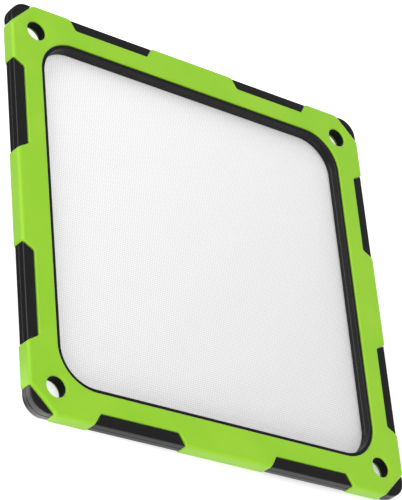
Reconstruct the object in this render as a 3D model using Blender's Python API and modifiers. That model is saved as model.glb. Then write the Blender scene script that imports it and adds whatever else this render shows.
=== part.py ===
"""Fan dust filter for a 120 mm fan: a soft jacket over a hard frame that carries a fine mesh.

The filter lies on its back face at z = 0, with its front face up (+Z). X and Y run along its
sides and the origin is under its middle. Lengths are in metres.

The hard frame is a thin web with a rim round the opening. Eight pads and four corner caps
stand out from the web and fill the windows and the cut corners of the jacket. The jacket is a
C section: a front skin and a back skin, joined along the outer sides wherever it has no window.
"""

import math

import bmesh
import bpy

# Hard frame
FRAME_SIDE = 0.1204
FRAME_THICKNESS = 0.0038
FRAME_CORNER_RADIUS = 0.0051
FRAME_EDGE = 0.00018  # rounding of the frame's outer edges
FRAME_BULGE = 0.00006  # mould draft: the outer wall stands this much further out at half height
FRAME_BORDER = 0.0097  # from the frame's outer side in to the opening
OPENING_RADIUS = 0.0100
RIM_FRONT_WIDTH = 0.00095
RIM_BACK_WIDTH = 0.0019
RIM_EDGE = 0.00015
PARTING_GROOVE = 0.00008  # depth of the mould's parting line round the inner wall

# Pads, two on each side of the frame
PAD_OFF_MIDDLE = 0.0277  # from the middle of the side to the middle of a pad
PAD_OUTER_LENGTH = 0.0276
PAD_INNER_LENGTH = 0.0238
PAD_DEPTH = 0.0032
PAD_CORNER_RADIUS = 0.0003

# Screw holes
HOLE_INSET = 0.0077  # from the frame's outer side in to a hole's middle: the holes are 105 mm apart
HOLE_DIAMETER = 0.0058
HOLE_BACK_CLEARANCE = 0.0006  # how far the jacket's back skin stands back from a hole's edge

# Jacket
JACKET_OVERHANG = 0.0003  # how far the jacket stands out past the frame's outer side
JACKET_WALL = 0.0020
JACKET_FRONT_SKIN = 0.0008
JACKET_BACK_SKIN = 0.0010
JACKET_FRONT_PROUD = 0.00045  # how far the jacket stands above the frame's front face
JACKET_BACK_PROUD = 0.0005
JACKET_CORNER_CUT = 0.0073  # length along each side that the diagonal cut takes off
JACKET_OUTER_EDGE = 0.0010  # rounding along the jacket's outer sides
JACKET_LIP_EDGE = 0.00035  # rounding of the edges of its windows, opening and screw holes

# Mesh
MESH_THICKNESS = 0.0003
MESH_LAP = 0.0009  # how far the mesh reaches over the frame beyond the opening
MESH_SEAT_DEPTH = 0.0005
THREAD_PITCH = 0.0015  # the real threads are finer: these ridges stand for the weave
THREAD_RELIEF = 0.00007

# Fits
SEAT_GAP = 0.0003

# Smoothness
CORNER_STEPS = 10
SMALL_STEPS = 3
HOLE_STEPS = 24
EDGE_STEPS = 1
LIP_STEPS = 2
OUTER_EDGE_STEPS = 3
MERGE_DISTANCE = 1e-7  # corners nearer than this become one
SHARP_ANGLE = math.radians(40)  # edges sharper than this are rounded
FLAT_ANGLE = math.radians(0.06)  # faces nearer than this to one plane become one face
SHARP_RADIUS = 0.00005  # a cutter's corners that lie outside what it cuts
PAST = 0.0010  # how far a cutter runs past what it cuts

# Levels, worked out from the sizes above
FRAME_BACK = JACKET_BACK_PROUD
FRAME_FRONT = FRAME_BACK + FRAME_THICKNESS
FRAME_MIDDLE = (FRAME_BACK + FRAME_FRONT) / 2
JACKET_FRONT = FRAME_FRONT + JACKET_FRONT_PROUD
CAVITY_FRONT = JACKET_FRONT - JACKET_FRONT_SKIN
CAVITY_BACK = JACKET_BACK_SKIN
WEB_FRONT = CAVITY_FRONT - SEAT_GAP
WEB_BACK = CAVITY_BACK + SEAT_GAP
MESH_FRONT = FRAME_BACK + MESH_SEAT_DEPTH - SEAT_GAP
MESH_BACK = MESH_FRONT - MESH_THICKNESS

# Half sides, worked out from the sizes above
FRAME_HALF = FRAME_SIDE / 2
OPENING_HALF = FRAME_HALF - FRAME_BORDER
HOLE_HALF_PITCH = FRAME_HALF - HOLE_INSET
JACKET_HALF = FRAME_HALF + JACKET_OVERHANG
CAVITY_HALF = JACKET_HALF - JACKET_WALL
WEB_HALF = CAVITY_HALF - SEAT_GAP

TWO_PI = 2 * math.pi


def clear_scene():
    for old in list(bpy.data.objects):
        bpy.data.objects.remove(old, do_unlink=True)


def make_collection(name):
    made = bpy.data.collections.new(name)
    bpy.context.scene.collection.children.link(made)
    return made


def make_material(name, colour, roughness):
    made = bpy.data.materials.new(name)
    made.use_nodes = True
    shader = made.node_tree.nodes["Principled BSDF"]
    shader.inputs["Base Color"].default_value = (*colour, 1.0)
    shader.inputs["Roughness"].default_value = roughness
    shader.inputs["Metallic"].default_value = 0.0
    return made


def rounded_loop(corners, steps):
    """Points of a closed outline. Each corner is (x, y, radius) and is turned into an arc."""
    points = []
    for i, (x, y, radius) in enumerate(corners):
        before = corners[i - 1]
        after = corners[(i + 1) % len(corners)]
        a = math.atan2(before[1] - y, before[0] - x)
        b = math.atan2(after[1] - y, after[0] - x)
        turn = (b - a + math.pi) % TWO_PI - math.pi
        half = abs(turn) / 2
        back = radius / math.tan(half)
        middle = a + turn / 2
        reach = radius / math.sin(half)
        cx = x + reach * math.cos(middle)
        cy = y + reach * math.sin(middle)
        start = math.atan2(y + back * math.sin(a) - cy, x + back * math.cos(a) - cx)
        end = math.atan2(y + back * math.sin(b) - cy, x + back * math.cos(b) - cx)
        sweep = (end - start + math.pi) % TWO_PI - math.pi
        for k in range(steps + 1):
            angle = start + sweep * k / steps
            points.append((cx + radius * math.cos(angle), cy + radius * math.sin(angle)))
    return points


def square_loop(half, radius, steps=CORNER_STEPS):
    corners = [(half, -half, radius), (half, half, radius), (-half, half, radius), (-half, -half, radius)]
    return rounded_loop(corners, steps)


def opening_loop(outset):
    """The opening's outline moved outwards by outset, so that every ring round it is concentric."""
    return square_loop(OPENING_HALF + outset, OPENING_RADIUS + outset)


def quarter_turns(points):
    """The points as they are, and turned a quarter, a half and three quarters round the middle."""
    return [
        points,
        [(-y, x) for x, y in points],
        [(-x, -y) for x, y in points],
        [(y, -x) for x, y in points],
    ]


def corner_cut_loop(grow):
    """The jacket's outline without its windows, moved outwards by grow: a square with cut corners."""
    half = JACKET_HALF + grow
    reach = 2 * JACKET_HALF - JACKET_CORNER_CUT + grow * math.sqrt(2) - half
    corner = [(half, reach), (reach, half)]
    return [point for quarter in quarter_turns(corner) for point in quarter]


def window_loops(gap):
    """The eight windows' outlines: each is its pad's outline moved outwards by gap."""
    slope = (PAD_OUTER_LENGTH - PAD_INNER_LENGTH) / 2 / PAD_DEPTH
    along_gap = gap * math.hypot(1, slope)
    inner = FRAME_HALF - PAD_DEPTH - gap
    outer = JACKET_HALF + PAST
    inner_reach = PAD_OUTER_LENGTH / 2 + slope * (inner - FRAME_HALF) + along_gap
    outer_reach = PAD_OUTER_LENGTH / 2 + slope * (outer - FRAME_HALF) + along_gap
    radius = PAD_CORNER_RADIUS + gap
    loops = []
    for middle in (-PAD_OFF_MIDDLE, PAD_OFF_MIDDLE):
        corners = [
            (outer, middle - outer_reach, SHARP_RADIUS),
            (outer, middle + outer_reach, SHARP_RADIUS),
            (inner, middle + inner_reach, radius),
            (inner, middle - inner_reach, radius),
        ]
        loops += quarter_turns(rounded_loop(corners, SMALL_STEPS))
    return loops


def hole_loops(outset=0.0):
    """The four screw holes' outlines, moved outwards by outset."""
    radius = HOLE_DIAMETER / 2 + outset
    turns = [TWO_PI * k / HOLE_STEPS for k in range(HOLE_STEPS)]
    circle = [(radius * math.cos(turn), radius * math.sin(turn)) for turn in turns]
    middles = [(sx * HOLE_HALF_PITCH, sy * HOLE_HALF_PITCH) for sx in (-1, 1) for sy in (-1, 1)]
    return [[(mx + x, my + y) for x, y in circle] for mx, my in middles]


def mesh_of(curve_object, name, collection):
    """Turns a curve object into a closed mesh object and removes the curve."""
    bpy.context.view_layer.update()
    graph = bpy.context.evaluated_depsgraph_get()
    data = bpy.data.meshes.new_from_object(curve_object.evaluated_get(graph))
    data.name = name
    bpy.data.objects.remove(curve_object, do_unlink=True)
    work = bmesh.new()
    work.from_mesh(data)
    bmesh.ops.remove_doubles(work, verts=work.verts, dist=MERGE_DISTANCE)
    bmesh.ops.dissolve_limit(work, angle_limit=FLAT_ANGLE, verts=work.verts, edges=work.edges)
    bmesh.ops.recalc_face_normals(work, faces=work.faces)
    work.to_mesh(data)
    work.free()
    made = bpy.data.objects.new(name, data)
    collection.objects.link(made)
    return made


def add_spline(curve, loop):
    spline = curve.splines.new("POLY")
    spline.points.add(len(loop) - 1)
    for point, (x, y) in zip(spline.points, loop):
        point.co = (x, y, 0, 1)
    spline.use_cyclic_u = True


def plate(name, loops, low, high, collection, edge=0.0):
    """A flat plate between two heights for each loop, all in one object."""
    curve = bpy.data.curves.new(name, "CURVE")
    curve.dimensions = "2D"
    curve.fill_mode = "BOTH"
    curve.extrude = (high - low) / 2 - edge
    if edge > 0:
        curve.bevel_depth = edge
        curve.bevel_resolution = EDGE_STEPS
        curve.offset = -edge
    for loop in loops:
        add_spline(curve, loop)
    drawn = bpy.data.objects.new(name + "_outline", curve)
    collection.objects.link(drawn)
    made = mesh_of(drawn, name, collection)
    for vertex in made.data.vertices:
        vertex.co.z += (low + high) / 2
    return made


def swept_ring(name, loop, profile, collection):
    """A closed profile, as (outwards, up) points, carried round a closed loop."""
    section = bpy.data.curves.new(name + "_section", "CURVE")
    section.dimensions = "2D"
    # A path carries its section's first axis inwards
    add_spline(section, [(-outwards, up) for outwards, up in profile])
    section_object = bpy.data.objects.new(name + "_section", section)
    collection.objects.link(section_object)
    path = bpy.data.curves.new(name, "CURVE")
    path.dimensions = "2D"
    path.fill_mode = "NONE"
    path.bevel_mode = "OBJECT"
    path.bevel_object = section_object
    add_spline(path, loop)
    drawn = bpy.data.objects.new(name + "_path", path)
    collection.objects.link(drawn)
    made = mesh_of(drawn, name, collection)
    bpy.data.objects.remove(section_object, do_unlink=True)
    return made


def bulge_at(target, height, amount, half):
    """Cuts an edge loop round the plate at this height and moves it outwards by amount."""
    work = bmesh.new()
    work.from_mesh(target.data)
    cut = bmesh.ops.bisect_plane(
        work,
        geom=work.verts[:] + work.edges[:] + work.faces[:],
        plane_co=(0, 0, height),
        plane_no=(0, 0, 1),
    )
    for item in cut["geom_cut"]:
        if isinstance(item, bmesh.types.BMVert):
            item.co.x *= 1 + amount / half
            item.co.y *= 1 + amount / half
    work.to_mesh(target.data)
    work.free()


def round_edges(target, width, steps):
    """Rounds the edges between faces that meet at a sharp angle, and leaves drawn arcs as they are."""
    step = target.modifiers.new("Round_edges", "BEVEL")
    step.width = width
    step.segments = steps
    step.limit_method = "ANGLE"
    step.angle_limit = SHARP_ANGLE
    step.use_clamp_overlap = False


def combine(target, other, operation):
    step = target.modifiers.new(operation.title() + "_" + other.name, "BOOLEAN")
    step.operation = operation
    step.solver = "EXACT"
    step.object = other
    other.hide_render = True
    other.display_type = "WIRE"


def make_jacket(parts, cutters):
    jacket = plate("silicone_jacket", [corner_cut_loop(0)], 0, JACKET_FRONT, parts)
    round_edges(jacket, JACKET_OUTER_EDGE, OUTER_EDGE_STEPS)
    windows = plate("jacket_windows", window_loops(SEAT_GAP), -PAST, JACKET_FRONT + PAST, cutters)
    combine(jacket, windows, "DIFFERENCE")
    front = [opening_loop(RIM_FRONT_WIDTH + SEAT_GAP), *hole_loops()]
    openings = plate("jacket_openings", front, -PAST, JACKET_FRONT + PAST, cutters)
    combine(jacket, openings, "DIFFERENCE")
    round_edges(jacket, JACKET_LIP_EDGE, LIP_STEPS)
    cavity = square_loop(CAVITY_HALF, SEAT_GAP, SMALL_STEPS)
    slot = plate("jacket_slot", [cavity], CAVITY_BACK, CAVITY_FRONT, cutters)
    combine(jacket, slot, "DIFFERENCE")
    back = opening_loop(RIM_BACK_WIDTH + SEAT_GAP)
    back_opening = plate("jacket_back_opening", [back], -PAST, FRAME_MIDDLE, cutters)
    combine(jacket, back_opening, "DIFFERENCE")
    clearances = hole_loops(HOLE_BACK_CLEARANCE)
    back_holes = plate("jacket_back_holes", clearances, -PAST, FRAME_MIDDLE, cutters)
    combine(jacket, back_holes, "DIFFERENCE")
    return jacket


def rim_profile():
    """The frame's section round the opening, with the mesh's seat at the back."""
    seat = FRAME_BACK + MESH_SEAT_DEPTH
    seat_width = MESH_LAP + SEAT_GAP
    return [
        (0, seat),
        (0, FRAME_MIDDLE - PARTING_GROOVE),
        (PARTING_GROOVE, FRAME_MIDDLE),
        (0, FRAME_MIDDLE + PARTING_GROOVE),
        (0, FRAME_FRONT - RIM_EDGE),
        (RIM_EDGE, FRAME_FRONT),
        (RIM_FRONT_WIDTH - RIM_EDGE, FRAME_FRONT),
        (RIM_FRONT_WIDTH, FRAME_FRONT - RIM_EDGE),
        (RIM_FRONT_WIDTH, FRAME_MIDDLE),
        (RIM_BACK_WIDTH, FRAME_MIDDLE),
        (RIM_BACK_WIDTH, FRAME_BACK),
        (seat_width, FRAME_BACK),
        (seat_width, seat),
    ]


def make_frame(parts, cutters):
    web = square_loop(WEB_HALF, SEAT_GAP, SMALL_STEPS)
    frame = plate("core_frame", [web], WEB_BACK, WEB_FRONT, parts)
    through = [opening_loop(RIM_FRONT_WIDTH / 2), *hole_loops()]
    openings = plate("web_openings", through, WEB_BACK - PAST, WEB_FRONT + PAST, cutters)
    combine(frame, openings, "DIFFERENCE")
    combine(frame, swept_ring("frame_rim", opening_loop(0), rim_profile(), cutters), "UNION")
    outline = square_loop(FRAME_HALF, FRAME_CORNER_RADIUS)
    raised = plate("pads_and_caps", [outline], FRAME_BACK, FRAME_FRONT, cutters, FRAME_EDGE)
    bulge_at(raised, FRAME_MIDDLE, FRAME_BULGE, FRAME_HALF)
    cover = plate("jacket_with_gap", [corner_cut_loop(SEAT_GAP)], -PAST, JACKET_FRONT + PAST, cutters)
    pads = plate("pad_outlines", window_loops(0), -2 * PAST, JACKET_FRONT + 2 * PAST, cutters)
    combine(cover, pads, "DIFFERENCE")
    combine(raised, cover, "DIFFERENCE")
    combine(frame, raised, "UNION")
    return frame


def ridged_block(name, across_y, low, high, collection):
    """A block over the whole mesh whose top is ridged. The ridges run along Y, or along X if across_y."""
    reach = OPENING_HALF + MESH_LAP + PAST
    count = math.ceil(reach / THREAD_PITCH)
    outline = [(-count * THREAD_PITCH, low), (count * THREAD_PITCH, low)]
    for i in range(2 * count, -1, -1):
        at = (i - count) * THREAD_PITCH
        outline.append((at, high - THREAD_RELIEF))
        if i:
            outline.append((at - THREAD_PITCH / 2, high))
    made = plate(name, [outline], -reach, reach, collection)
    for vertex in made.data.vertices:
        across, up, along = vertex.co
        vertex.co = (along, across, up) if across_y else (across, along, up)
    work = bmesh.new()
    work.from_mesh(made.data)
    bmesh.ops.recalc_face_normals(work, faces=work.faces)
    work.to_mesh(made.data)
    work.free()
    return made


def make_mesh(parts, cutters):
    mesh = plate("filter_mesh", [opening_loop(MESH_LAP)], MESH_BACK, MESH_FRONT, parts)
    warp = ridged_block("warp_ridges", True, MESH_BACK - PAST, MESH_FRONT, cutters)
    combine(mesh, warp, "INTERSECT")
    weft = ridged_block("weft_ridges", False, -MESH_FRONT - PAST, -MESH_BACK, cutters)
    weft.rotation_euler = (0, math.pi, 0)
    combine(mesh, weft, "INTERSECT")
    return mesh


def main():
    clear_scene()
    parts = make_collection("fan_dust_filter")
    cutters = make_collection("cutters")
    finishes = [
        (make_jacket, "green_silicone", (0.33, 0.66, 0.05), 0.55),
        (make_frame, "black_plastic", (0.022, 0.022, 0.023), 0.42),
        (make_mesh, "white_nylon", (0.88, 0.88, 0.88), 0.8),
    ]
    for make, finish, colour, roughness in finishes:
        piece = make(parts, cutters)
        piece.data.materials.clear()
        piece.data.materials.append(make_material(finish, colour, roughness))
    cutters.hide_render = True


main()
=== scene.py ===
import math

import bmesh
import bpy
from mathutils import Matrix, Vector


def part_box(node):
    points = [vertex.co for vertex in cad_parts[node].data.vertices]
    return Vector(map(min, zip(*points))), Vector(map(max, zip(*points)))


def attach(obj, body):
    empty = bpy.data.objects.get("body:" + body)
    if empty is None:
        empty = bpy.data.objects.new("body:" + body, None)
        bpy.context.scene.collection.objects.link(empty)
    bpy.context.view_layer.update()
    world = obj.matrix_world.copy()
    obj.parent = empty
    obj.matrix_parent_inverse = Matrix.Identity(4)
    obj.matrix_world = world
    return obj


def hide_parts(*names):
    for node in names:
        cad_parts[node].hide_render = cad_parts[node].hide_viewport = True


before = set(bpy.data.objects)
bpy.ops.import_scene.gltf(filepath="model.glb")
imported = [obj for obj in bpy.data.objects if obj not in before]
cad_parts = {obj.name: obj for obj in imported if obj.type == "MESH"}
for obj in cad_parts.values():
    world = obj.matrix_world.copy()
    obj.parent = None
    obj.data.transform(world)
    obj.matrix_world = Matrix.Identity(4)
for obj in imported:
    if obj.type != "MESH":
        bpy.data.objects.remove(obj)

# Lengths are in millimetres, and mm() turns them into Blender's metres.
# The filter lies on its back, front face up. Its jacket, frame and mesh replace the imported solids.

# Jacket
JACKET_CUT = 7.3  # what the diagonal takes off each side at a corner
FRONT_SKIN = 0.8
BACK_SKIN = 1.0
JACKET_WALL = 2.0
CUT_RADIUS = 0.8  # where the diagonals meet the sides
OUTER_FILLET = 1.0  # along the jacket's outer sides
LIP_FILLET = 0.35  # round the windows, the opening and the screw holes
SHARP_ANGLE = 40  # sharper edges are rounded

# Frame
FRAME_HALF = 60.2
BORDER = 9.7  # from the frame's outer side in to the opening
OPENING_RADIUS = 10.0
RIM_FRONT = 0.95
RIM_BACK = 1.9
FRAME_RADIUS = 5.1
FRAME_FILLET = 0.35
RIM_FILLET = 0.16
DRAFT = 0.06  # how far the walls stand out at the parting line
PARTING = 0.15  # half the width of the parting line, and its depth

# Pads in the jacket's windows, two on each side
PAD_MIDDLE = 27.7
PAD_OUTER = 27.6
PAD_INNER = 23.8
PAD_DEPTH = 3.2
WINDOW_RADIUS = 0.3

# Screw holes
HOLE_INSET = 7.7
HOLE_DIAMETER = 5.8
BACK_HOLE_DIAMETER = 7.0  # in the jacket's back skin
DISH_DIAMETER = 9.4  # the front skin dips a little towards each hole
DISH_DEPTH = 0.2

# Mesh
MESH_LAP = 0.9
SEAT_DEPTH = 0.5

# Fits and smoothness
GAP = 0.3  # inside, where nothing shows
FIT = 0.1  # where the jacket meets the frame in plain view
PAST = 1.0  # how far a cutter runs past what it cuts
CORNER_SEGMENTS = 16
SMALL_SEGMENTS = 5
FINE_SEGMENTS = 3
HOLE_SIDES = 56
SMOOTH_ANGLE = 33  # sharper edges stay sharp in the shading
MERGE_DISTANCE = 0.002
SPECK = 0.001  # edges shorter than this are dissolved
SAME_PLACE = 1e-6  # in metres
FLAT = 0.99  # how far a flat face's normal rises, at least

# Weave. The real threads are about 0.3 mm apart, too fine to show here.
THREAD_SPACING = 0.6  # just coarse enough to read as a weave
WAVE_PERIOD = 2 * math.pi / 20  # of a wave texture at scale 1

# Camera, from the photograph's lines and screw holes
CAMERA_PLACE = (-333.14, -289.14, 397.36)
CAMERA_TURN = (33.0508, -37.2170, -5.9508)
CAMERA_LENS = 159.43
SENSOR_WIDTH = 36
CLIP_START = 10

# Painted reflections: how bright the floor's glow is where only reflections see it, dim as painted
# shade and bright as painted highlights
PAINTED_DIM_UNDER_FILTER = 0.12
PAINTED_OPEN_FLOOR = 1.2
PAINTED_NEAR_SIDE = 1.05
PAINTED_NEAR_LEFT = 3.0
PAINTED_NEAR_LEFT_CORNER = 4.0

# Where that changes, in millimetres from the middle
BESIDE_ZONE = (66, 82)
NEAR_ZONE = (-57, -60)
NEAR_LEFT_ZONE = (-42, -54)
CORNER_ZONE = (-50, -56)

# Painted light: the glow the camera sees on the floor, from the far left corner to the near right
# one. It is brighter at the far left and shows through the mesh as light on it
PAINTED_BACKLIGHT_ZONE = (-80, 80)
PAINTED_BACKLIGHT = (0.89, 0.45)
FLOOR_SIDE = 12  # in metres

# Room
ROOM_LIGHT = 0.66
BACKDROP_ZONE = (0.2, 0.6)  # heights on a unit sphere
BACKDROP = (1.0, 0.28)


def mm(value):
    return value / 1000


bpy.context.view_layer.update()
_, jacket_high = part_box("silicone_jacket")
frame_low, frame_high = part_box("core_frame")
JACKET_HALF = round(jacket_high.x * 1000, 2)
JACKET_TOP = round(jacket_high.z * 1000, 2)
FRAME_BACK = round(frame_low.z * 1000, 2)
FRAME_FRONT = round(frame_high.z * 1000, 2)
FRAME_MIDDLE = (FRAME_BACK + FRAME_FRONT) / 2
OPENING_HALF = FRAME_HALF - BORDER
HOLE_PLACE = FRAME_HALF - HOLE_INSET
SLOT_HALF = JACKET_HALF - JACKET_WALL
SLOT_FRONT = JACKET_TOP - FRONT_SKIN
SLOT_BACK = BACK_SKIN


# Modelling


def take(piece):
    """Makes this the only selected object."""
    bpy.ops.object.select_all(action="DESELECT")
    piece.select_set(True)
    bpy.context.view_layer.objects.active = piece


def select_edges(piece, test):
    """In edit mode, selects the edges that pass a test."""
    bpy.ops.mesh.select_mode(type="EDGE")
    bpy.ops.mesh.select_all(action="DESELECT")
    shape = bmesh.from_edit_mesh(piece.data)
    for edge in shape.edges:
        edge.select_set(test(edge))
    bmesh.update_edit_mesh(piece.data)


def upright(edge):
    run = edge.verts[0].co - edge.verts[1].co
    return math.hypot(run.x, run.y) < SAME_PLACE < abs(run.z)


def bevel(piece, test, offset, segments):
    """Bevels the edges that pass a test."""
    take(piece)
    bpy.ops.object.mode_set(mode="EDIT")
    select_edges(piece, test)
    bpy.ops.mesh.bevel(offset=mm(offset), segments=segments, affect="EDGES", clamp_overlap=False)
    bpy.ops.object.mode_set(mode="OBJECT")


def round_rims(piece, offset, segments, heights):
    """Rounds every edge where a flat face at one of these heights meets a wall."""
    levels = [mm(height) for height in heights]

    def on_rim(edge):
        if len(edge.link_faces) != 2 or not any(
            all(abs(vert.co.z - level) < SAME_PLACE for vert in edge.verts) for level in levels
        ):
            return False
        flat = [abs(face.normal.z) > FLAT for face in edge.link_faces]
        return flat[0] != flat[1]

    bevel(piece, on_rim, offset, segments)


def round_sharp_edges(piece, offset):
    """Rounds every sharp edge and leaves the fillets that are there."""
    take(piece)
    step = piece.modifiers.new("Edges", "BEVEL")
    step.width = mm(offset)
    step.segments = FINE_SEGMENTS
    step.limit_method = "ANGLE"
    step.angle_limit = math.radians(SHARP_ANGLE)
    step.use_clamp_overlap = False
    bpy.ops.object.modifier_apply(modifier=step.name)


def apply_transform():
    bpy.ops.object.transform_apply(location=True, rotation=True, scale=True)


def block(middle, size):
    """A box, from its middle and its size."""
    bpy.ops.object.select_all(action="DESELECT")
    bpy.ops.mesh.primitive_cube_add(
        size=1, location=[mm(value) for value in middle], scale=[mm(value) for value in size]
    )
    apply_transform()
    return bpy.context.active_object


def slab(name, half, low, high, corner=0, segments=CORNER_SEGMENTS):
    """A square slab with its four upright edges bevelled."""
    piece = block((0, 0, (low + high) / 2), (2 * half, 2 * half, high - low))
    piece.name = name
    if corner:
        bevel(piece, upright, corner, segments)
    return piece


def copy_of(piece, name):
    take(piece)
    bpy.ops.object.duplicate(linked=False)
    made = bpy.context.active_object
    made.name = name
    return made


def join(pieces, name):
    bpy.ops.object.select_all(action="DESELECT")
    for piece in pieces:
        piece.select_set(True)
    bpy.context.view_layer.objects.active = pieces[0]
    bpy.ops.object.join()
    made = bpy.context.active_object
    made.name = name
    return made


def apply_boolean(piece, other, operation):
    """Cuts or joins piece with other, and removes other."""
    take(piece)
    step = piece.modifiers.new(operation.title(), "BOOLEAN")
    step.operation = operation
    step.solver = "EXACT"
    step.object = other
    bpy.ops.object.modifier_apply(modifier=step.name)
    take(other)
    bpy.ops.object.delete()


def opening_slab(name, outset, low, high):
    """A slab with the opening's outline, moved outwards by outset."""
    return slab(name, OPENING_HALF + outset, low, high, OPENING_RADIUS + outset)


def parting_line(piece, half, inwards):
    """Draws a mould's parting line round a piece's walls at the frame's middle height.

    The walls lean out to the line from the front and from the back, and the line is a fine
    groove. On a cutter inwards is -1, and the wall it leaves stands in instead.
    """
    take(piece)
    bpy.ops.object.mode_set(mode="EDIT")
    loops = [(-PARTING, DRAFT), (0, DRAFT - PARTING), (PARTING, DRAFT)]
    for rise, out in loops:
        bpy.ops.mesh.select_all(action="SELECT")
        bpy.ops.mesh.bisect(plane_co=(0, 0, mm(FRAME_MIDDLE + rise)), plane_no=(0, 0, 1))
        grow = 1 + inwards * out / half
        bpy.ops.transform.resize(value=(grow, grow, 1), center_override=(0, 0, 0))
    bpy.ops.object.mode_set(mode="OBJECT")


def windows(name, gap):
    """Cutters for the eight windows: a pad's outline moved outwards by gap, at each pad's place."""
    slope = (PAD_OUTER - PAD_INNER) / 2 / PAD_DEPTH
    along_gap = gap * math.hypot(1, slope)
    inner = FRAME_HALF - PAD_DEPTH - gap
    outer = JACKET_HALF + PAST
    inner_reach = PAD_OUTER / 2 + slope * (inner - FRAME_HALF) + along_gap
    outer_reach = PAD_OUTER / 2 + slope * (outer - FRAME_HALF) + along_gap
    first = block(
        ((inner + outer) / 2, 0, JACKET_TOP / 2),
        (outer - inner, 2 * outer_reach, JACKET_TOP + 2 * PAST),
    )

    def at_inner(edge):
        return all(abs(vert.co.x - mm(inner)) < SAME_PLACE for vert in edge.verts)

    bpy.ops.object.mode_set(mode="EDIT")
    select_edges(first, at_inner)
    bpy.ops.transform.resize(
        value=(1, inner_reach / outer_reach, 1), center_override=(mm(inner), 0, mm(JACKET_TOP) / 2)
    )
    bpy.ops.object.mode_set(mode="OBJECT")
    bevel(first, lambda edge: upright(edge) and at_inner(edge), WINDOW_RADIUS + gap, SMALL_SEGMENTS)
    cutters = []
    for quarter in range(4):
        for middle in (-PAD_MIDDLE, PAD_MIDDLE):
            cutter = copy_of(first, name)
            bpy.ops.transform.translate(value=(0, mm(middle), 0))
            bpy.ops.transform.rotate(
                value=quarter * math.pi / 2, orient_axis="Z", center_override=(0, 0, 0)
            )
            apply_transform()
            cutters.append(cutter)
    take(first)
    bpy.ops.object.delete()
    return join(cutters, name)


def hole_cutters(name, low, high, low_diameter, high_diameter):
    """A round cutter at each screw hole, tapered where the two diameters differ."""
    cutters = []
    for side_x in (-1, 1):
        for side_y in (-1, 1):
            bpy.ops.object.select_all(action="DESELECT")
            bpy.ops.mesh.primitive_cone_add(
                vertices=HOLE_SIDES,
                radius1=mm(low_diameter / 2),
                radius2=mm(high_diameter / 2),
                depth=mm(high - low),
                location=(mm(side_x * HOLE_PLACE), mm(side_y * HOLE_PLACE), mm(low + high) / 2),
            )
            apply_transform()
            cutters.append(bpy.context.active_object)
    return join(cutters, name)


def cut_corner_slab(name, grow, low, high):
    """The jacket's outline as a slab, with a diagonal cut at each corner.

    Its sides and its diagonals are all moved outwards by grow.
    """
    return slab(name, JACKET_HALF + grow, low, high, JACKET_CUT + grow * (2 - math.sqrt(2)), 1)


def finish_shape(piece):
    """Shades fillets smooth and leaves flat faces flat."""
    take(piece)
    bpy.ops.object.mode_set(mode="EDIT")
    bpy.ops.mesh.select_all(action="SELECT")
    bpy.ops.mesh.remove_doubles(threshold=mm(MERGE_DISTANCE))
    bpy.ops.mesh.dissolve_degenerate(threshold=mm(SPECK))
    bpy.ops.mesh.normals_make_consistent(inside=False)
    bpy.ops.object.mode_set(mode="OBJECT")
    bpy.ops.object.shade_smooth_by_angle(angle=math.radians(SMOOTH_ANGLE))
    even = piece.modifiers.new("Even shading", "WEIGHTED_NORMAL")
    even.keep_sharp = True
    bpy.ops.object.modifier_apply(modifier=even.name)


def make_jacket():
    """The soft moulding: a C section with windows, cut corners, screw holes and rounded edges."""
    jacket = cut_corner_slab("moulded_jacket", 0, 0, JACKET_TOP)
    bevel(jacket, upright, CUT_RADIUS, SMALL_SEGMENTS)
    round_rims(jacket, OUTER_FILLET, SMALL_SEGMENTS, (0, JACKET_TOP))
    apply_boolean(jacket, windows("jacket_windows", FIT), "DIFFERENCE")
    opening = opening_slab("jacket_opening", RIM_FRONT + FIT, -PAST, JACKET_TOP + PAST)
    apply_boolean(jacket, opening, "DIFFERENCE")
    dish_floor = JACKET_TOP - DISH_DEPTH
    dish_slope = (DISH_DIAMETER - HOLE_DIAMETER) / DISH_DEPTH
    dish_past = DISH_DIAMETER + dish_slope * PAST
    above = JACKET_TOP + PAST
    dishes = hole_cutters("jacket_dishes", dish_floor, above, HOLE_DIAMETER, dish_past)
    apply_boolean(jacket, dishes, "DIFFERENCE")
    bores = hole_cutters("jacket_holes", FRAME_MIDDLE, above, HOLE_DIAMETER, HOLE_DIAMETER)
    apply_boolean(jacket, bores, "DIFFERENCE")
    back_bores = hole_cutters(
        "jacket_back_holes", -PAST, FRAME_MIDDLE + PAST, BACK_HOLE_DIAMETER, BACK_HOLE_DIAMETER
    )
    apply_boolean(jacket, back_bores, "DIFFERENCE")
    round_sharp_edges(jacket, LIP_FILLET)
    slot = slab("jacket_slot", SLOT_HALF, SLOT_BACK, SLOT_FRONT, GAP, SMALL_SEGMENTS)
    apply_boolean(jacket, slot, "DIFFERENCE")
    back = opening_slab("jacket_back_opening", RIM_BACK + GAP, -PAST, FRAME_MIDDLE)
    apply_boolean(jacket, back, "DIFFERENCE")
    finish_shape(jacket)
    return jacket


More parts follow.
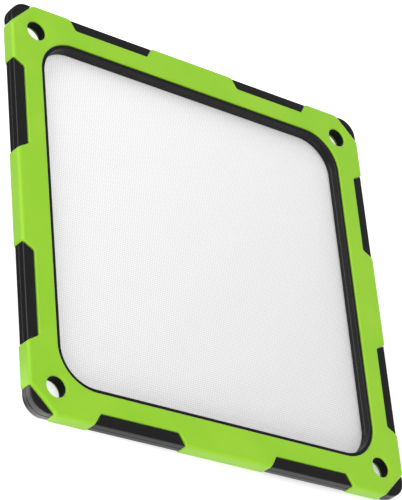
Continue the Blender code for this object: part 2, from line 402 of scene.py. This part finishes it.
def make_core():
    """The hard moulding: web, rim, eight pads and four corner caps, with its parting line."""
    raised = slab("moulded_frame", FRAME_HALF, FRAME_BACK, FRAME_FRONT, FRAME_RADIUS)
    parting_line(raised, FRAME_HALF, 1)
    cover = cut_corner_slab("cover", FIT, FRAME_BACK - PAST, FRAME_FRONT + PAST)
    apply_boolean(cover, windows("cover_windows", 0), "DIFFERENCE")
    apply_boolean(raised, cover, "DIFFERENCE")
    round_rims(raised, FRAME_FILLET, FINE_SEGMENTS, (FRAME_BACK, FRAME_FRONT))

    rim = opening_slab("rim", RIM_FRONT, FRAME_MIDDLE - GAP, FRAME_FRONT)
    back_rim = opening_slab("back_rim", RIM_BACK, FRAME_BACK, FRAME_MIDDLE)
    apply_boolean(rim, back_rim, "UNION")
    opening = opening_slab("frame_opening", 0, FRAME_BACK - PAST, FRAME_FRONT + PAST)
    parting_line(opening, OPENING_HALF, -1)
    apply_boolean(rim, opening, "DIFFERENCE")
    seat = opening_slab("mesh_seat", MESH_LAP + GAP, FRAME_BACK - PAST, FRAME_BACK + SEAT_DEPTH)
    apply_boolean(rim, seat, "DIFFERENCE")
    round_rims(rim, RIM_FILLET, FINE_SEGMENTS, (FRAME_FRONT,))

    web_half = SLOT_HALF - GAP
    web = slab("web", web_half, SLOT_BACK + GAP, SLOT_FRONT - GAP, GAP, SMALL_SEGMENTS)
    inside = opening_slab("web_opening", RIM_FRONT / 2, SLOT_BACK, SLOT_FRONT)
    apply_boolean(web, inside, "DIFFERENCE")
    bores = hole_cutters("web_holes", 0, JACKET_TOP, HOLE_DIAMETER, HOLE_DIAMETER)
    apply_boolean(web, bores, "DIFFERENCE")
    apply_boolean(raised, web, "UNION")
    apply_boolean(raised, rim, "UNION")
    finish_shape(raised)
    return raised


def make_mesh():
    """The woven mesh, a thin stretched sheet with rounded corners like the opening's."""
    low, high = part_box("filter_mesh")
    sheet = opening_slab("woven_mesh", MESH_LAP, low.z * 1000, high.z * 1000)
    finish_shape(sheet)
    return sheet


# Materials


def linear(hex_colour):
    """A linear colour from an sRGB hex value."""
    values = [int(hex_colour[i : i + 2], 16) / 255 for i in (0, 2, 4)]
    return (*[v / 12.92 if v <= 0.04045 else ((v + 0.055) / 1.055) ** 2.4 for v in values], 1.0)


def new_material(name):
    material = bpy.data.materials.new(name)
    material.use_nodes = True
    material.node_tree.nodes.clear()
    return material


def add(owner, kind, settings=None, inputs=None):
    """Adds a node to a material or to the world.

    An input is a value, or a (node, output) pair that is linked to it.
    """
    node = owner.node_tree.nodes.new(kind)
    for key, value in (settings or {}).items():
        setattr(node, key, value)
    for key, value in (inputs or {}).items():
        if isinstance(value, tuple) and isinstance(value[0], bpy.types.Node):
            owner.node_tree.links.new(value[0].outputs[value[1]], node.inputs[key])
        else:
            node.inputs[key].default_value = value
    return node


def in_millimetres(material):
    """Object coordinates with one unit to the millimetre."""
    place = add(material, "ShaderNodeTexCoord")
    return add(
        material,
        "ShaderNodeMapping",
        None,
        {"Vector": (place, "Object"), "Scale": (1000, 1000, 1000)},
    )


def noise(material, place, scale, detail):
    return add(
        material,
        "ShaderNodeTexNoise",
        None,
        {"Vector": (place, "Vector"), "Scale": scale, "Detail": detail},
    )


def calculate(owner, operation, first, second, clamp=False):
    return add(
        owner,
        "ShaderNodeMath",
        {"operation": operation, "use_clamp": clamp},
        {0: first, 1: second},
    )


def ramp(owner, value, start, end, at_start, at_end):
    """Goes from at_start to at_end while the value goes from start to end."""
    return add(
        owner,
        "ShaderNodeMapRange",
        None,
        {
            "Value": value,
            "From Min": start,
            "From Max": end,
            "To Min": at_start,
            "To Max": at_end,
        },
    )


def blend(material, share, first, second):
    """Mixes two colours, and gives the mix as a (node, output) pair."""
    mix = add(material, "ShaderNodeMix", {"data_type": "RGBA"}, {0: share, 6: first, 7: second})
    return mix, 2


def relief(material, height, strength, depth):
    return add(
        material,
        "ShaderNodeBump",
        None,
        {"Height": height, "Strength": strength, "Distance": mm(depth)},
    )


def give_surface(material, inputs):
    """Gives a material a surface shader with these inputs."""
    surface = add(material, "ShaderNodeBsdfPrincipled", None, inputs)
    add(material, "ShaderNodeOutputMaterial", None, {"Surface": (surface, "BSDF")})
    return material


def moulded_silicone():
    """Silicone rubber from a fine-sparked mould.

    A dense colour that drifts a little, a soft wide shine that pales the sides, and a fine tooth.
    """
    material = new_material("moulded_silicone")
    place = in_millimetres(material)
    tooth = noise(material, place, 4.0, 3.0)
    swirl = noise(material, place, 0.06, 2.0)
    colour = blend(material, (swirl, "Fac"), linear("83C700"), linear("9FD326"))
    shine = ramp(material, (tooth, "Fac"), 0, 1, 0.42, 0.52)
    bump = relief(material, (tooth, "Fac"), 0.25, 0.02)
    return give_surface(
        material,
        {
            "Base Color": colour,
            "Roughness": (shine, "Result"),
            "Normal": (bump, "Normal"),
            "IOR": 1.45,
            "Sheen Weight": 0.8,
            "Sheen Roughness": 0.35,
        },
    )


def moulded_abs():
    """Black ABS from a polished mould with a light grain: satin, and shinier at grazing angles."""
    material = new_material("moulded_abs")
    place = in_millimetres(material)
    grain = noise(material, place, 6.0, 2.0)
    cloud = noise(material, place, 0.25, 2.0)
    colour = blend(material, (cloud, "Fac"), linear("161617"), linear("1C1C1D"))
    shine = ramp(material, (cloud, "Fac"), 0, 1, 0.24, 0.34)
    bump = relief(material, (grain, "Fac"), 0.2, 0.02)
    return give_surface(
        material,
        {
            "Base Color": colour,
            "Roughness": (shine, "Result"),
            "Normal": (bump, "Normal"),
            "IOR": 1.5,
            "Specular IOR Level": 0.3,
        },
    )


def woven_nylon():
    """White nylon monofilament in a plain weave, open enough to let part of the light through."""
    material = new_material("woven_nylon")
    place = in_millimetres(material)

    def threads(direction):
        return add(
            material,
            "ShaderNodeTexWave",
            {"bands_direction": direction},
            {"Vector": (place, "Vector"), "Scale": WAVE_PERIOD / THREAD_SPACING},
        )

    warp = threads("X")
    weft = threads("Y")
    over = add(
        material,
        "ShaderNodeTexChecker",
        None,
        {"Vector": (place, "Vector"), "Scale": 1 / THREAD_SPACING},
    )
    height = add(
        material,
        "ShaderNodeMix",
        {"data_type": "FLOAT"},
        {0: (over, "Fac"), 2: (warp, "Fac"), 3: (weft, "Fac")},
    )
    # Painted shade: the nylon is greyer where the weave lies low, between the threads
    painted_pore_shade = blend(material, (height, 0), linear("CACACA"), linear("FCFCFC"))
    bump = relief(material, (height, 0), 0.4, 0.08)
    return give_surface(
        material,
        {
            "Base Color": painted_pore_shade,
            "Roughness": 0.75,
            "Normal": (bump, "Normal"),
            "IOR": 1.53,
            "Sheen Weight": 0.1,
            "Alpha": 0.4,
        },
    )


def pale_floor():
    """White paper sweep. The camera sees it as white, and it keeps the shadow.

    Under the filter its glow is painted lighter towards the far left corner, a painted light that
    shows through the mesh.
    Reflections see a painted glow instead: dim under the filter and close beside it, painted shade,
    and bright further out and along the near side, most of all at the near left corner, painted
    highlights. That gives the black edges their contrast.
    """
    material = new_material("paper_sweep_and_painted_glow")
    white = linear("FFFFFF")
    ray = add(material, "ShaderNodeLightPath")
    place = in_millimetres(material)
    along = add(material, "ShaderNodeSeparateXYZ", None, {"Vector": (place, "Vector")})

    paper = add(material, "ShaderNodeBsdfDiffuse", None, {"Color": linear("E6E6E6")})
    seen = calculate(material, "ADD", (ray, "Is Camera Ray"), (ray, "Is Transmission Ray"))
    slant = calculate(material, "SUBTRACT", (along, "X"), (along, "Y"))
    # Painted light: the glow rises towards the far left corner and lights the mesh from behind
    painted_backlight = ramp(material, (slant, 0), *PAINTED_BACKLIGHT_ZONE, *PAINTED_BACKLIGHT)
    strength = calculate(material, "MULTIPLY", (seen, 0), (painted_backlight, "Result"))
    glow = add(material, "ShaderNodeEmission", None, {"Color": white, "Strength": (strength, 0)})
    lit = add(material, "ShaderNodeAddShader", None, {0: (paper, 0), 1: (glow, 0)})

    # Painted reflection: a glow that only reflections see. It is dim beside and under the filter as
    # painted shade, and bright at the near side and the near left corner as painted highlights
    near_left = ramp(material, (along, "Y"), *NEAR_LEFT_ZONE, PAINTED_DIM_UNDER_FILTER, PAINTED_NEAR_LEFT)
    foot_zone = (-JACKET_HALF, -JACKET_HALF - 1)
    foot = ramp(material, (along, "X"), *foot_zone, PAINTED_DIM_UNDER_FILTER, (near_left, "Result"))
    outwards = add(
        material, "ShaderNodeVectorMath", {"operation": "ABSOLUTE"}, {0: (place, "Vector")}
    )
    out = add(material, "ShaderNodeSeparateXYZ", None, {"Vector": (outwards, 0)})
    furthest = calculate(material, "MAXIMUM", (out, "X"), (out, "Y"))
    beside = ramp(material, (furthest, 0), *BESIDE_ZONE, (foot, "Result"), PAINTED_OPEN_FLOOR)
    near_side = ramp(material, (along, "X"), *CORNER_ZONE, PAINTED_NEAR_SIDE, PAINTED_NEAR_LEFT_CORNER)
    level = ramp(material, (along, "Y"), *NEAR_ZONE, (beside, "Result"), (near_side, "Result"))
    painted_reflection = add(
        material, "ShaderNodeEmission", None, {"Color": white, "Strength": (level, "Result")}
    )
    surface = add(
        material,
        "ShaderNodeMixShader",
        None,
        {0: (ray, "Is Glossy Ray"), 1: (lit, 0), 2: (painted_reflection, 0)},
    )
    add(material, "ShaderNodeOutputMaterial", None, {"Surface": (surface, 0)})
    return material


# Stage


def make_floor():
    bpy.ops.object.select_all(action="DESELECT")
    bpy.ops.mesh.primitive_plane_add(size=FLOOR_SIDE, location=(0, 0, 0))
    floor = bpy.context.active_object
    floor.name = "floor"
    floor.data.materials.append(pale_floor())


def make_world():
    """A pale room. Where it is seen it is white round the horizon and dimmer overhead."""
    world = bpy.data.worlds.new("studio")
    bpy.context.scene.world = world
    world.use_nodes = True
    world.node_tree.nodes.clear()
    ray = add(world, "ShaderNodeLightPath")
    seen = calculate(world, "ADD", (ray, "Is Camera Ray"), (ray, "Is Glossy Ray"), clamp=True)
    seen_through = calculate(world, "ADD", (seen, 0), (ray, "Is Transmission Ray"), clamp=True)
    place = add(world, "ShaderNodeTexCoord")
    direction = add(world, "ShaderNodeSeparateXYZ", None, {"Vector": (place, "Generated")})
    backdrop = ramp(world, (direction, "Z"), *BACKDROP_ZONE, *BACKDROP)
    strength = ramp(world, (seen_through, 0), 0, 1, ROOM_LIGHT, (backdrop, "Result"))
    sky = add(world, "ShaderNodeBackground", None, {"Strength": (strength, "Result")})
    add(world, "ShaderNodeOutputWorld", None, {"Surface": (sky, 0)})


def softbox(name, place, size, power):
    """A square area lamp that faces the filter."""
    bpy.ops.object.light_add(type="AREA", location=[mm(value) for value in place])
    lamp = bpy.context.active_object
    lamp.name = name
    lamp.data.size = mm(size)
    lamp.data.energy = power
    lamp.rotation_euler = (-Vector(place)).to_track_quat("-Z", "Y").to_euler()


def make_camera():
    bpy.ops.object.camera_add(
        location=[mm(value) for value in CAMERA_PLACE],
        rotation=[math.radians(value) for value in CAMERA_TURN],
    )
    camera = bpy.context.active_object
    camera.data.sensor_width = SENSOR_WIDTH
    camera.data.lens = CAMERA_LENS
    camera.data.clip_start = mm(CLIP_START)
    bpy.context.scene.camera = camera


jacket = make_jacket()
core = make_core()
mesh = make_mesh()
finishes = [
    (jacket, "silicone_jacket", "silicone", moulded_silicone()),
    (core, "core_frame", "plastic", moulded_abs()),
    (mesh, "filter_mesh", "nylon", woven_nylon()),
]
for piece, node, slot, material in finishes:
    piece.data.materials.clear()
    piece.data.materials.append(material)
    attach(piece, "root")
    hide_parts(node)

make_floor()
make_world()
softbox("left_softbox", (-1150, 560, 620), size=900, power=9)
softbox("low_softbox", (-350, -1250, 500), size=900, power=9.5)
softbox("top_softbox", (-100, 150, 1400), size=700, power=4)
make_camera()
bpy.context.scene.view_settings.view_transform = "Standard"
